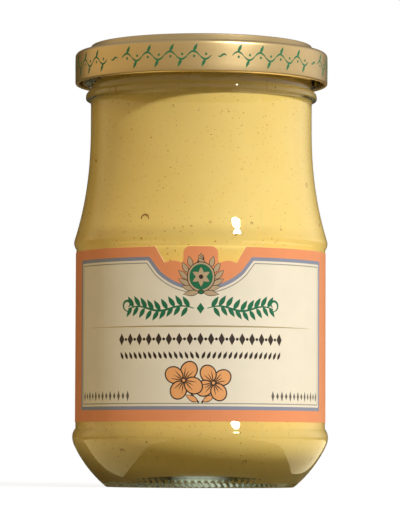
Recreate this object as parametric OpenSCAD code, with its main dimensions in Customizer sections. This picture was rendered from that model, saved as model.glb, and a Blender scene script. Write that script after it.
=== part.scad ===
// Mustard jar: a clear glass jar with a flared shoulder, filled with mustard and closed
// by a gold lug cap, with a die-cut paper label wrapped round its straight wall.
//
// Frame: the jar stands on z = 0 with its axis on +Z. The front of the label faces -Y.
// Every outline below is drawn as [radius, height] and turned round +Z.

/* [Glass jar] */
// Radius of the straight wall that carries the label
panel_r = 30.35; // [26:0.05:38]
// Height of the straight wall
panel_h = 43.5; // [38:0.1:60]
// Height of the rounded heel, from the table to the straight wall
heel_h = 14.2; // [11:0.1:20]
// Height of the flared shoulder, from the straight wall to the neck
shoulder_h = 30.3; // [22:0.1:40]
// Outer radius of the neck
neck_r = 27; // [22:0.1:29.5]
// Height of the neck, from the shoulder to the rim
neck_h = 19.35; // [17:0.05:26]
// Thickness of the glass wall
wall = 2.6; // [1.8:0.1:3.2]
// Thickness of the glass base
base_t = 4.2; // [3:0.1:6]
// How far the base is pushed up at its centre
push_up = 1.8; // [1.5:0.1:3.5]
// Width of the flat ring that the jar stands on
foot_w = 1.6; // [1:0.1:3]
// Height of the foot ring's slanted inner side
foot_ring_h = 1; // [0.5:0.1:1.4]
// How far the heel bead stands out from the straight wall
heel_proud = 0.75; // [0.3:0.05:1.2]
// How far the shoulder bead stands out from the straight wall
bead_proud = 0.55; // [0.2:0.05:1]
// How quickly the shoulder narrows; 2 is a parabola
flare_power = 2.3; // [1.6:0.05:3]

/* [Neck finish] */
// How far the transfer ring stands out from the neck
ring_proud = 1.25; // [0.6:0.05:1.8]
// Height of the transfer ring's crest below the lid's edge
ring_drop = 3; // [2.6:0.1:5]
// How far the threads stand out from the neck
thread_proud = 2.05; // [1:0.05:2.3]
// Radius of the threads' round section
thread_r = 1.3; // [1:0.05:1.4]
// Number of threads, each met by one lug of the lid
thread_count = 4; // [3:1:4]
// Angle that one thread runs round the neck
thread_sweep = 70; // [50:1:76]
// How far one thread climbs
thread_rise = 2.9; // [2:0.1:3.4]
// Height of a thread's middle above the lid's edge
thread_lift = 2.05; // [1.9:0.05:2.6]

/* [Lid] */
// Height of the lid
lid_h = 9.6; // [8.5:0.1:12]
// Thickness of the tinplate
lid_t = 0.25; // [0.2:0.05:0.35]
// Room between the threads and the lid's skirt
lid_gap = 1.55; // [1.5:0.05:2.5]
// Height of the raised ring round the lid's top
tier_h = 1.75; // [1.4:0.1:2.6]
// How far the middle of the lid is sunk
recess = 0.8; // [0.3:0.1:1.2]
// Radius of the curl along the lid's edge
curl_r = 0.5; // [0.45:0.05:0.75]
// Angle that one lug runs round the lid
lug_sweep = 16; // [10:1:20]

/* [Label] */
// Gap between the heel and the label's lower edge
label_low_gap = 1.5; // [0:0.1:4]
// Gap between the label's upper edge and the shoulder
label_top_gap = 0.9; // [0:0.1:4]
// Thickness of the paper
label_t = 0.12; // [0.1:0.01:0.25]
// Width of the lap at the back, where one end is glued over the other
lap_w = 5; // [3:0.5:10]
// Depth of the die-cut notches in the front's top edge
notch_d = 3.9; // [2.6:0.1:6]
// Half-width of the notched part of the top edge
notch_w = 10.9; // [9:0.1:14]
// Width of the slant at each end of the notched part
slant_w = 2.3; // [1:0.1:3]
// Half-width of the round-topped tab between the notches
tab_w = 4.1; // [3:0.1:5]

/* [Contents] */
// Space between the mustard and the rim
headspace = 3.5; // [2.5:0.1:4]

/* [Hidden] */
$fn = 144;

// Radii of the curves of the heel and the two beads, and where the heel's curves change over.
heel_top_curve = 3.1;
heel_bead_curve = 5;
heel_bead_turn = 25;
heel_turn = 50;
foot_lift = 0.3;
bead_curve = 2.4;
lip_curve = 1.4;
lip_inner_curve = 0.8;
inner_heel_h = 8.5;
inner_heel_w = 12;

// Heights, from the table up.
panel_low_z = heel_h;
panel_top_z = heel_h + panel_h;
neck_low_z = panel_top_z + shoulder_h;
rim_z = neck_low_z + neck_h;
lid_top_z = rim_z + lid_t;
lid_low_z = lid_top_z - lid_h;
ring_z = lid_low_z - ring_drop;
fill_z = rim_z - headspace;

// Heel: a small curve under the straight wall, the bead, and a long curve down to the foot.
heel_r = panel_r + heel_proud;
heel_top_turn = acos(1 - heel_proud / heel_top_curve);
heel_z = heel_h - heel_top_curve * sin(heel_top_turn);
heel_long_curve = (heel_z - foot_lift - heel_bead_curve * sin(heel_bead_turn))
    / (sin(heel_turn) - sin(heel_bead_turn));
heel_end_r = heel_r - heel_bead_curve * (1 - cos(heel_bead_turn))
    - heel_long_curve * (cos(heel_bead_turn) - cos(heel_turn));
foot_curve = foot_lift / (1 - cos(heel_turn));
foot_r = heel_end_r - foot_curve * sin(heel_turn);
foot_in_r = foot_r - foot_w;

// Shoulder: the bead turns in until its slope meets the flare's.
bead_r = panel_r + bead_proud;
bead_low_turn = acos(1 - bead_proud / bead_curve);
bead_z = panel_top_z + bead_curve * sin(bead_low_turn);
bead_top_turn = atan(flare_power * (bead_r - neck_r) / (neck_low_z - bead_z));
flare_low_r = bead_r - bead_curve * (1 - cos(bead_top_turn));
flare_low_z = bead_z + bead_curve * sin(bead_top_turn);

// Threads: each is an arc of a ring, tilted so that its low end shows below the lid.
thread_crest_r = neck_r + thread_proud;
thread_mid_r = thread_crest_r - thread_r;
thread_tilt = atan(thread_rise / (2 * thread_mid_r * sin(thread_sweep / 2)));
thread_z = lid_low_z + thread_lift;
lug_start = 12;

// Lid: its skirt clears the threads, and its raised ring takes the jar's rim.
lid_r = thread_crest_r + lid_gap + lid_t;
ledge_z = lid_top_z - tier_h;
ledge_curve = 1.1;
rim_room = 0.75;
tier_lean = 0.9;
tier_foot_r = neck_r + rim_room + lid_t;
tier_top_r = tier_foot_r - tier_lean;
tier_curve = 0.5;
recess_top_r = neck_r - wall - 0.1;
recess_foot_r = recess_top_r - recess;
lug_h = 0.8;
lug_reach = 1.7;

// Label: it keeps inside the straight wall at any size.
label_low_z = panel_low_z + label_low_gap;
label_top_z = panel_top_z - label_top_gap;
label_h = label_top_z - label_low_z;
tab_curve = 1.6;
notch_low_z = label_top_z - notch_d;
nick_in_w = tab_w + 0.3;
nick_out_w = notch_w - slant_w;
nick_rise = 0.55;
cut_over = 1;

// Points on an arc round [x, z], from angle a to angle b.
function arc(x, z, r, a, b, steps = 10) =
    [for (i = [0:steps]) let (t = a + (b - a) * i / steps) [x + r * cos(t), z + r * sin(t)]];

function reversed(points) = [for (i = [len(points) - 1:-1:0]) points[i]];

// The unit normal on the right-hand side of the step from p to q.
function right_of(p, q) = [q.y - p.y, p.x - q.x] / norm(q - p);

// The path moved sideways by t, which gives a sheet's other face.
function moved_aside(path, t) =
    let (last = len(path) - 1)
    [for (i = [0:last])
        let (
            before = right_of(path[max(i - 1, 0)], path[max(i, 1)]),
            after = right_of(path[min(i, last - 1)], path[min(i + 1, last)])
        )
        path[i] + t * (before + after) / (1 + before * after)];

// Underside, from the pushed-up centre down the inside of the foot ring to the foot.
function underside() = concat(
    [for (i = [0:10])
        let (s = i / 10)
        [(foot_in_r - foot_ring_h) * s, push_up - (push_up - foot_ring_h) * s * s]],
    [[foot_in_r, 0], [foot_r, 0]]
);

// Heel, from the foot up to the straight wall.
function heel_line() = concat(
    arc(foot_r, foot_curve, foot_curve, -90 + heel_turn / 4, -90 + heel_turn * 3 / 4, 2),
    arc(
        heel_r - heel_bead_curve - (heel_long_curve - heel_bead_curve) * cos(heel_bead_turn),
        heel_z + (heel_long_curve - heel_bead_curve) * sin(heel_bead_turn),
        heel_long_curve, -heel_turn, -heel_bead_turn, 8
    ),
    arc(heel_r - heel_bead_curve, heel_z, heel_bead_curve, -heel_bead_turn * 3 / 4, 0, 3),
    arc(
        heel_r - heel_top_curve, heel_z, heel_top_curve,
        heel_top_turn / 5, heel_top_turn, 4
    )
);

// Shoulder bead and flare, from the straight wall up to the neck.
function shoulder_line(inward = 0, steps = 20) = concat(
    arc(bead_r - bead_curve, bead_z, bead_curve, -bead_low_turn, bead_top_turn, 8),
    flare_line(inward, 1, steps)
);

function flare_line(inward, first, steps = 20) = [
    for (i = [first:steps])
        let (t = i / steps)
        [
            neck_r - inward + (flare_low_r - neck_r) * pow(1 - t, flare_power),
            flare_low_z + (neck_low_z - flare_low_z) * t
        ]
];

// Transfer ring: round on top, with a flat underside and a small fillet below it.
function ring_line() = concat(
    [[neck_r, ring_z - 2], [neck_r + 0.1, ring_z - 1.5], [neck_r + 0.3, ring_z - 1.1]],
    arc(neck_r + ring_proud - 0.5, ring_z - 0.35, 0.5, -80, 0, 4),
    [for (i = [1:6]) let (t = i * 15) [neck_r + ring_proud * cos(t), ring_z + 1.4 * sin(t)]]
);

// Rim, from the neck's outside over the lip to its inside.
function lip_line() = concat(
    arc(neck_r - lip_curve, rim_z - lip_curve, lip_curve, 0, 90, 6),
    arc(neck_r - wall + lip_inner_curve, rim_z - lip_inner_curve, lip_inner_curve, 90, 180, 4)
);

// Inside of the glass, from the neck down to the centre of the base.
function inside_line() = concat(
    reversed(flare_line(wall, 0)),
    arc(
        panel_r - wall - bead_curve, bead_z - bead_curve * 1.2, bead_curve, 30, 0, 3
    ),
    [for (i = [0:10])
        let (t = i * 9)
        [
            panel_r - wall - inner_heel_w * (1 - cos(t)),
            push_up * 0.4 + base_t + inner_heel_h * (1 - sin(t))
        ]],
    [[0, push_up * 0.8 + base_t]]
);

module glass_body() {
    rotate_extrude()
        polygon(concat(underside(), heel_line(), shoulder_line(), ring_line(), lip_line(), inside_line()));
}

// One thread, with its low end at the given angle.
module thread(angle) {
    translate([0, 0, thread_z])
        rotate([0, 0, angle + thread_sweep / 2])
        rotate([thread_tilt, 0, 0])
        rotate([0, 0, -thread_sweep / 2])
        rotate_extrude(angle = thread_sweep)
        translate([thread_mid_r, 0])
        circle(r = thread_r);
}

// Keeps the threads' round sections off the inside of the neck.
module neck_sleeve() {
    rotate_extrude()
        translate([neck_r - wall / 2, ring_z - 1])
        square([wall / 2 + thread_proud + 1, rim_z - ring_z - lip_curve]);
}

module glass_jar() {
    color("LightCyan", 0.5) {
        glass_body();
        intersection() {
            neck_sleeve();
            for (i = [0:thread_count - 1])
                thread(i * 360 / thread_count);
        }
    }
}

// The mustard fills the inside of the glass up to the fill height.
module mustard() {
    color("Goldenrod")
        intersection() {
            rotate_extrude()
                polygon(concat([[0, rim_z]], [[neck_r - wall, rim_z]], inside_line()));
            cylinder(r = panel_r, h = fill_z);
        }
}

// Outer face of the tinplate, from the middle of the top out, down and round the curl.
function lid_line() = concat(
    [
        [0, lid_top_z - recess],
        [recess_foot_r, lid_top_z - recess],
        [recess_top_r, lid_top_z]
    ],
    arc(tier_top_r - tier_curve, lid_top_z - tier_curve, tier_curve, 90, 40, 4),
    [[tier_foot_r, ledge_z]],
    arc(lid_r - ledge_curve, ledge_z - ledge_curve, ledge_curve, 90, 0, 6),
    arc(lid_r - curl_r, lid_low_z + curl_r, curl_r, 0, -240, 14)
);

module lid_shell() {
    rotate_extrude()
        polygon(concat(lid_line(), reversed(moved_aside(lid_line(), lid_t))));
}

// One lug, pressed in from the curl so that it hooks under a thread.
module lug(angle) {
    inner_r = lid_r - 2 * curl_r - lug_reach;
    rotate([0, 0, angle])
        rotate_extrude(angle = lug_sweep)
        polygon([
            [inner_r, lid_low_z + 0.3],
            [inner_r + 0.3, lid_low_z + 0.1],
            [lid_r - 2 * curl_r + 0.1, lid_low_z + curl_r * 0.7],
            [lid_r - 2 * curl_r + 0.1, lid_low_z + lug_h],
            [inner_r, lid_low_z + lug_h]
        ]);
}

module lid() {
    color("Tan") {
        lid_shell();
        for (i = [0:thread_count - 1])
            lug(i * 360 / thread_count + thread_sweep / 2 + lug_start);
    }
}

// Turns a place on the flat label, [along, up], into one on the view from the front.
function wrapped(p) = [panel_r * sin(p.x / panel_r * 180 / PI), p.y];

// Right-hand notch of the label's top edge, as cut from the flat paper: the tab's rounded
// side, a low nick, and a slant up to the top edge.
function notch() = concat(
    arc(tab_w - tab_curve, label_top_z - tab_curve, tab_curve, 90, 0, 6),
    [[tab_w, notch_low_z + tab_curve / 2]],
    [for (i = [0:6])
        let (t = i / 6)
        [
            nick_in_w + (nick_out_w - nick_in_w) * t,
            notch_low_z + nick_rise * sin(180 * t)
        ]],
    [
        [notch_w, label_top_z],
        [notch_w, label_top_z + cut_over],
        [tab_w - tab_curve, label_top_z + cut_over]
    ]
);

module notch_cutter() {
    rotate([90, 0, 0])
        linear_extrude(height = panel_r + cut_over)
        polygon([for (p = notch()) wrapped(p)]);
}

module label() {
    color("Salmon") {
        difference() {
            rotate_extrude()
                translate([panel_r, label_low_z])
                square([label_t, label_h]);
            notch_cutter();
            mirror([1, 0, 0])
                notch_cutter();
        }
        lap_turn = lap_w / panel_r * 180 / PI;
        rotate([0, 0, 90 - lap_turn / 2])
            rotate_extrude(angle = lap_turn)
            translate([panel_r + label_t / 2, label_low_z])
            square([label_t * 1.5, label_h]);
    }
}

glass_jar();
mustard();
lid();
label();
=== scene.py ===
"""Mustard jar: pressed glass, smooth mustard, a gold tinplate lid and a printed paper label.

Run as a script, it builds every piece round the fixed frame. The panel in the 3D view's sidebar
lists the same steps as buttons, with the sizes and colours that they read.
"""

import math
import random

import bpy
import numpy as np
from bpy.props import FloatProperty, FloatVectorProperty, IntProperty, PointerProperty
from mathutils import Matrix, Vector
from mathutils.geometry import delaunay_2d_cdt


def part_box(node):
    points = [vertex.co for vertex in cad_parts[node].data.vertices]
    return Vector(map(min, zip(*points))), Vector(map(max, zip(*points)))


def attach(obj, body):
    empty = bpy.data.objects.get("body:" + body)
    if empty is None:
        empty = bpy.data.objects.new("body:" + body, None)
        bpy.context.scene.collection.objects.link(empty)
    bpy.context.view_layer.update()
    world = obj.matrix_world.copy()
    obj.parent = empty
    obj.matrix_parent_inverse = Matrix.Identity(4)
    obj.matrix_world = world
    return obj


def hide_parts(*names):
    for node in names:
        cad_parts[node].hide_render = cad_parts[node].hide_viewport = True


bl_info = {
    "name": "Mustard jar",
    "version": (1, 0, 0),
    "blender": (4, 5, 0),
    "location": "3D View > Sidebar > Mustard jar",
    "description": "Builds a glass jar of mustard with its lid and label",
    "category": "Add Mesh",
}

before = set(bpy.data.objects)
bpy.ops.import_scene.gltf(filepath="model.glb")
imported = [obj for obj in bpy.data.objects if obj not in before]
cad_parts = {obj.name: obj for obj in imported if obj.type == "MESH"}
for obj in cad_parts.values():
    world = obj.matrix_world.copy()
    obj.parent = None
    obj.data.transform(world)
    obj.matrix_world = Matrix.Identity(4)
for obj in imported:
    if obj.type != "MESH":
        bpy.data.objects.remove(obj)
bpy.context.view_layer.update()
BODY = "root"
MM = 0.001
TURN = 2 * math.pi

# The frame's own sizes, which every piece is worked out from.
GLASS_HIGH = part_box("glass_jar")[1]
LID_LOW, LID_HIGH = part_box("lid")
LABEL_LOW, LABEL_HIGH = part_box("label")
MUSTARD_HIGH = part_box("mustard")[1]


# ---------------------------------------------------------------- colours and settings


def linear(code):
    """An sRGB hex colour as linear red, green and blue."""
    values = [int(code[i : i + 2], 16) / 255 for i in (1, 3, 5)]
    return tuple(v / 12.92 if v <= 0.04045 else ((v + 0.055) / 1.055) ** 2.4 for v in values)


def blend(first, second, share):
    """A colour part of the way from the first to the second."""
    return [a * (1 - share) + b * share for a, b in zip(first, second)]


def length(name, description, default):
    """A size in metres that a user may change."""
    return FloatProperty(
        name=name, description=description, default=default, precision=5, unit="LENGTH"
    )


def colour(name, description, code):
    """A colour that a user may change."""
    return FloatVectorProperty(
        name=name, description=description, default=linear(code), subtype="COLOR", min=0, max=1
    )


class GlassSizes(bpy.types.PropertyGroup):
    """Sizes of the pressed glass"""

    paper: length("Paper", "Thickness of the label, which sits on the glass", 0.12 * MM)
    wall: length("Wall", "Thickness of the glass wall", 2.6 * MM)
    heel_height: length("Heel", "From the table to the straight wall", 14.2 * MM)
    panel_height: length("Label panel", "Height of the straight wall", 43.5 * MM)
    shoulder_height: length("Shoulder", "Height of the flare", 30.3 * MM)
    neck_radius: length("Neck", "Outer radius of the neck", 27 * MM)
    base_thickness: length("Base", "Thickness of the glass floor", 4.2 * MM)
    push_up: length("Push-up", "How far the floor is pushed up", 1.8 * MM)
    foot_width: length("Foot", "Width of the ring that it stands on", 1.6 * MM)
    foot_ring: length("Foot ring", "Height of the foot ring's inner side", 1.0 * MM)
    bead_proud: length("Shoulder bead", "How far the bead stands out", 0.55 * MM)
    ring_proud: length("Transfer ring", "How far the ring stands out", 1.25 * MM)
    thread_proud: length("Threads", "How far the threads stand out", 2.05 * MM)
    knurl_count: IntProperty(name="Knurls", description="Bars round the foot", default=96)
    knurl_depth: length("Knurl depth", "Depth between the bars", 0.42 * MM)
    tint: colour("Glass", "Faint green of clear glass", "#F3F9F3")


class MustardLook(bpy.types.PropertyGroup):
    """Sizes and colours of the filling"""

    bite: length("Reach into the wall", "Keeps air out between glass and paste", 0.05 * MM)
    paste: colour("Paste", "Main colour of the mustard", "#EEC363")
    pale: colour("Pale paste", "Colour of the creamier streaks", "#F2CE77")
    bran: colour("Bran", "Colour of the fine specks", "#D2923A")
    speck_density: FloatProperty(
        name="Specks", description="Specks for each square metre of paste", default=1.9e5
    )
    speck_radius: length("Speck size", "Radius of a middling speck", 0.09 * MM)


class LidSizes(bpy.types.PropertyGroup):
    """Sizes and colours of the tinplate lid"""

    plate: length("Tinplate", "Thickness of the plate", 0.25 * MM)
    tier_height: length("Raised ring", "Height of the ring round the top", 1.75 * MM)
    recess: length("Sunk middle", "How far the middle is sunk", 0.8 * MM)
    curl: length("Curl", "Radius of the rolled edge", 0.5 * MM)
    gold: colour("Lacquer", "Gold lacquer over tin", "#E2C288")
    print_colour: colour("Lid print", "Green ink on the lacquer", "#2F7348")
    print_count: IntProperty(name="Vines", description="Lengths of vine round the lid", default=7)


class LabelLook(bpy.types.PropertyGroup):
    """Sizes and colours of the printed paper"""

    lap: length("Lap", "How far one end is glued over the other", 5 * MM)
    salmon: colour("Salmon", "Ground colour of the print", "#EE9460")
    cream: colour("Cream", "Panels", "#EFE0C4")
    silver: colour("Silver grey", "Frame round the panels", "#8E8F9C")
    green: colour("Green", "Ornament", "#1F6B45")
    tan: colour("Tan", "Leaves of the medallion", "#BFA27C")
    dark: colour("Dark brown", "Lines and small marks", "#3A2A20")
    orange: colour("Orange", "Blossoms", "#F2A868")
    foil: colour("Foil", "Hot-stamped gold line", "#C9AE72")


class StageSettings(bpy.types.PropertyGroup):
    """The camera's place"""

    distance: length("Distance", "From the jar's axis to the camera", 800 * MM)
    height: length("Height", "Camera above the table", 8.3 * MM)
    tilt: FloatProperty(
        name="Tilt", description="Upward tilt", default=math.radians(3.364), subtype="ANGLE"
    )
    roll: FloatProperty(
        name="Roll",
        description="Roll about the line of sight",
        default=math.radians(-0.22),
        subtype="ANGLE",
    )
    lens: FloatProperty(name="Lens", description="Focal length in millimetres", default=227.3)


class JarSettings(bpy.types.PropertyGroup):
    """All settings of the mustard jar"""

    glass: PointerProperty(type=GlassSizes)
    mustard: PointerProperty(type=MustardLook)
    lid: PointerProperty(type=LidSizes)
    label: PointerProperty(type=LabelLook)
    stage: PointerProperty(type=StageSettings)


# ---------------------------------------------------------------- node trees


def add_node(tree, kind, inputs=None, **settings):
    """A node with its settings. Each input is a value, the socket that feeds it, or a node, which
    feeds it from its first output."""
    node = tree.nodes.new(kind)
    for name, value in settings.items():
        setattr(node, name, value)
    for key, value in (inputs or {}).items():
        if isinstance(value, bpy.types.Node):
            value = value.outputs[0]
        if isinstance(value, bpy.types.NodeSocket):
            tree.links.new(value, node.inputs[key])
        else:
            node.inputs[key].default_value = value
    return node


def new_tree(name, sockets):
    """An empty geometry tree with named inputs, and its input node."""
    tree = bpy.data.node_groups.new(name, "GeometryNodeTree")
    tree.interface.new_socket("Geometry", in_out="INPUT", socket_type="NodeSocketGeometry")
    tree.interface.new_socket("Geometry", in_out="OUTPUT", socket_type="NodeSocketGeometry")
    for socket_name, kind in sockets.items():
        tree.interface.new_socket(socket_name, in_out="INPUT", socket_type="NodeSocket" + kind)
    return tree, tree.nodes.new("NodeGroupInput")


def end_tree(tree, start, geometry):
    """Realize the instances, set the material and close the tree."""
    real = add_node(tree, "GeometryNodeRealizeInstances", {0: geometry})
    painted = add_node(
        tree, "GeometryNodeSetMaterial", {"Geometry": real, "Material": start.outputs["Material"]}
    )
    add_node(tree, "NodeGroupOutput", {0: painted})
    return tree


def lathe_tree():
    """Turns a half-section, a row of points, round the Z axis, with bars pressed into its foot."""
    tree, start = new_tree(
        "Lathe",
        {
            "Columns": "Int", "Bars": "Int", "Bar depth": "Float", "Bar slant": "Float",
            "Sharp angle": "Float", "Material": "Material"
        }
    )
    section = start.outputs["Geometry"]
    rows = add_node(tree, "GeometryNodeAttributeDomainSize", {0: section}).outputs["Point Count"]
    edges = add_node(tree, "FunctionNodeIntegerMath", {0: start.outputs["Columns"], 1: 1})
    grid = add_node(tree, "GeometryNodeMeshGrid", {"Vertices X": edges, "Vertices Y": rows})
    index = add_node(tree, "GeometryNodeInputIndex").outputs[0]
    column = add_node(tree, "FunctionNodeIntegerMath", {0: index, 1: rows}, operation="DIVIDE_FLOOR")
    row = add_node(tree, "FunctionNodeIntegerMath", {0: index, 1: rows}, operation="MODULO")
    place = add_node(tree, "GeometryNodeInputPosition").outputs[0]
    point = add_node(
        tree, "GeometryNodeSampleIndex", {"Geometry": section, "Value": place, "Index": row},
        data_type="FLOAT_VECTOR"
    )
    share = add_node(
        tree, "ShaderNodeMath", {0: column, 1: start.outputs["Columns"]}, operation="DIVIDE"
    )
    angle = add_node(tree, "ShaderNodeMath", {0: share, 1: TURN}, operation="MULTIPLY")

    # The bars: a wave round the axis that leans with height, held to the foot by an attribute.
    part = add_node(tree, "ShaderNodeSeparateXYZ", {0: point})
    foot = add_node(tree, "GeometryNodeInputNamedAttribute", {"Name": "foot"}, data_type="FLOAT")
    amount = add_node(
        tree, "GeometryNodeSampleIndex", {"Geometry": section, "Value": foot, "Index": row},
        data_type="FLOAT"
    )
    lean = add_node(
        tree, "ShaderNodeMath", {0: part.outputs["Z"], 1: start.outputs["Bar slant"]},
        operation="MULTIPLY"
    )
    phase = add_node(
        tree, "ShaderNodeMath", {0: angle, 1: start.outputs["Bars"], 2: lean}, operation="MULTIPLY_ADD"
    )
    wave = add_node(tree, "ShaderNodeMath", {0: phase}, operation="COSINE")
    hollow = add_node(tree, "ShaderNodeMath", {0: wave, 1: -0.5, 2: 0.5}, operation="MULTIPLY_ADD")
    depth = add_node(
        tree, "ShaderNodeMath", {0: hollow, 1: start.outputs["Bar depth"]}, operation="MULTIPLY"
    )
    sunk = add_node(tree, "ShaderNodeMath", {0: depth, 1: amount}, operation="MULTIPLY")
    inward = add_node(
        tree, "ShaderNodeVectorMath", {0: (-0.7, 0, 0.7), "Scale": sunk}, operation="SCALE"
    )
    pressed = add_node(tree, "ShaderNodeVectorMath", {0: point, 1: inward}, operation="ADD")
    turned = add_node(
        tree, "ShaderNodeVectorRotate", {"Vector": pressed, "Angle": angle}, rotation_type="Z_AXIS"
    )
    wrapped = add_node(tree, "GeometryNodeSetPosition", {"Geometry": grid, "Position": turned})
    closed = add_node(tree, "GeometryNodeMergeByDistance", {"Geometry": wrapped, "Distance": 1e-6})
    smooth = add_node(tree, "GeometryNodeSetShadeSmooth", {"Geometry": closed})
    fold = add_node(tree, "GeometryNodeInputMeshEdgeAngle")
    sharp = add_node(
        tree, "FunctionNodeCompare", {0: fold, 1: start.outputs["Sharp angle"]}, data_type="FLOAT",
        operation="GREATER_THAN"
    )
    creased = add_node(
        tree, "GeometryNodeSetShadeSmooth",
        {"Geometry": smooth, "Selection": sharp, "Shade Smooth": False}, domain="EDGE"
    )
    return end_tree(tree, start, creased.outputs[0])


def ring_tree():
    """Repeats a shape round the Z axis at even steps."""
    tree, start = new_tree("Round the lid", {"Count": "Int", "Material": "Material"})
    points = add_node(tree, "GeometryNodePoints", {"Count": start.outputs["Count"]})
    index = add_node(tree, "GeometryNodeInputIndex")
    share = add_node(tree, "ShaderNodeMath", {0: index, 1: start.outputs["Count"]}, operation="DIVIDE")
    angle = add_node(tree, "ShaderNodeMath", {0: share, 1: TURN}, operation="MULTIPLY")
    turn = add_node(tree, "ShaderNodeCombineXYZ", {"Z": angle})
    copies = add_node(
        tree, "GeometryNodeInstanceOnPoints",
        {"Points": points, "Instance": start.outputs["Geometry"], "Rotation": turn}
    )
    return end_tree(tree, start, copies.outputs[0])


def speck_tree():
    """Scatters flattened grains over the paste, where the label doesn't cover it."""
    tree, start = new_tree(
        "Bran specks",
        {
            "Density": "Float", "Radius": "Float", "Covered from": "Float", "Covered to": "Float",
            "Lowest": "Float", "Seed": "Int", "Material": "Material"
        }
    )
    place = add_node(tree, "GeometryNodeInputPosition")
    height = add_node(tree, "ShaderNodeSeparateXYZ", {0: place}).outputs["Z"]
    above, below, off_floor = (
        add_node(
            tree, "FunctionNodeCompare", {0: height, 1: start.outputs[limit]}, data_type="FLOAT",
            operation=side
        )
        for limit, side in (
            ("Covered to", "GREATER_THAN"),
            ("Covered from", "LESS_THAN"),
            ("Lowest", "GREATER_THAN"),
        )
    )
    heel = add_node(tree, "FunctionNodeBooleanMath", {0: below, 1: off_floor})
    open_glass = add_node(tree, "FunctionNodeBooleanMath", {0: above, 1: heel}, operation="OR")
    scatter = add_node(
        tree, "GeometryNodeDistributePointsOnFaces",
        {
            "Mesh": start.outputs["Geometry"], "Selection": open_glass,
            "Density": start.outputs["Density"], "Seed": start.outputs["Seed"]
        }
    )
    size = add_node(
        tree, "FunctionNodeRandomValue", {2: 0.5, 3: 1.0, "Seed": start.outputs["Seed"]},
        data_type="FLOAT"
    )
    spread = add_node(tree, "ShaderNodeMath", {0: size.outputs[1], 1: 2.2}, operation="POWER")
    radius = add_node(
        tree, "ShaderNodeMath", {0: spread, 1: start.outputs["Radius"]}, operation="MULTIPLY"
    )
    double = add_node(tree, "ShaderNodeMath", {0: radius, 1: 2.4}, operation="MULTIPLY")
    oval = add_node(
        tree, "FunctionNodeRandomValue", {0: (0.7, 0.5, 0.3), 1: (1.3, 1.0, 0.4), "Seed": 4},
        data_type="FLOAT_VECTOR"
    )
    scale = add_node(tree, "ShaderNodeVectorMath", {0: oval, "Scale": double}, operation="SCALE")
    grain = add_node(tree, "GeometryNodeMeshIcoSphere", {"Radius": 1.0, "Subdivisions": 1})
    copies = add_node(
        tree, "GeometryNodeInstanceOnPoints",
        {
            "Points": scatter.outputs["Points"], "Instance": grain,
            "Rotation": scatter.outputs["Rotation"], "Scale": scale
        }
    )
    return end_tree(tree, start, copies.outputs[0])


def grow(name, mesh, tree, values):
    """Run a geometry tree on a mesh and keep the result as a plain mesh object."""
    piece = bpy.data.objects.new(name, mesh)
    modifier = piece.modifiers.new(tree.name, "NODES")
    modifier.node_group = tree
    for item in tree.interface.items_tree:
        if item.in_out == "INPUT" and item.name in values:
            modifier[item.identifier] = values[item.name]
    bpy.context.collection.objects.link(piece)
    depsgraph = bpy.context.evaluated_depsgraph_get()
    result = bpy.data.meshes.new_from_object(piece.evaluated_get(depsgraph), depsgraph=depsgraph)
    piece.modifiers.remove(modifier)
    if result.materials[0] is None:
        result.materials.pop(index=0)
    piece.data = result
    result.name = name
    return piece


def line_mesh(name, points, foot=None):
    """A row of points (radius, height) as a mesh, with how far each takes the foot's bars."""
    mesh = bpy.data.meshes.new(name)
    mesh.from_pydata([(r, 0, z) for r, z in points], [(i, i + 1) for i in range(len(points) - 1)], [])
    attribute = mesh.attributes.new("foot", "FLOAT", "POINT")
    attribute.data.foreach_set("value", foot or [0.0] * len(points))
    return mesh


def plain_mesh(name, points, faces, material):
    """A mesh object from points and faces, with one material."""
    mesh = bpy.data.meshes.new(name)
    mesh.from_pydata(points, [], faces)
    mesh.materials.append(material)
    piece = bpy.data.objects.new(name, mesh)
    bpy.context.collection.objects.link(piece)
    return piece


def place(piece, slot, *nodes):
    """Ride the piece on the jar's body and hide the frame's nodes that it stands for. The slot, which
    names its finish, is not used.
    """
    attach(piece, BODY)
    if nodes:
        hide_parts(*nodes)


# ---------------------------------------------------------------- outlines


def arc(x, z, radius, start, end, steps):
    """Points on an arc round (x, z), from one angle to another, in degrees."""
    angles = np.radians(np.linspace(start, end, steps + 1))
    return [(x + radius * math.cos(a), z + radius * math.sin(a)) for a in angles]


def ease(value, low, high):
    """0 below low and 1 above high, with a smooth step between."""
    t = min(max((value - low) / (high - low), 0), 1)
    return t * t * (3 - 2 * t)


def panel_radius(s):
    """Outer radius of the straight wall."""
    return LABEL_HIGH.x - s.paper


def shoulder(s):
    """Where the shoulder's bead and flare lie: the numbers that both faces of the glass share."""
    power = 2.3
    curve = 2.4 * MM
    panel = panel_radius(s)
    top = s.heel_height + s.panel_height
    neck_low = top + s.shoulder_height
    bead = panel + s.bead_proud
    low_turn = math.degrees(math.acos(1 - s.bead_proud / curve))
    bead_z = top + curve * math.sin(math.radians(low_turn))
    top_turn = math.degrees(math.atan(power * (bead - s.neck_radius) / (neck_low - bead_z)))
    flare_r = bead - curve * (1 - math.cos(math.radians(top_turn)))
    flare_z = bead_z + curve * math.sin(math.radians(top_turn))
    bead_points = arc(bead - curve, bead_z, curve, -low_turn, top_turn, 12)
    flare_points = [
        (
            s.neck_radius + (flare_r - s.neck_radius) * (1 - t) ** power,
            flare_z + (neck_low - flare_z) * t,
        )
        for t in np.linspace(0, 1, 25)
    ]
    return bead_points, flare_points, bead_z, curve


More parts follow.
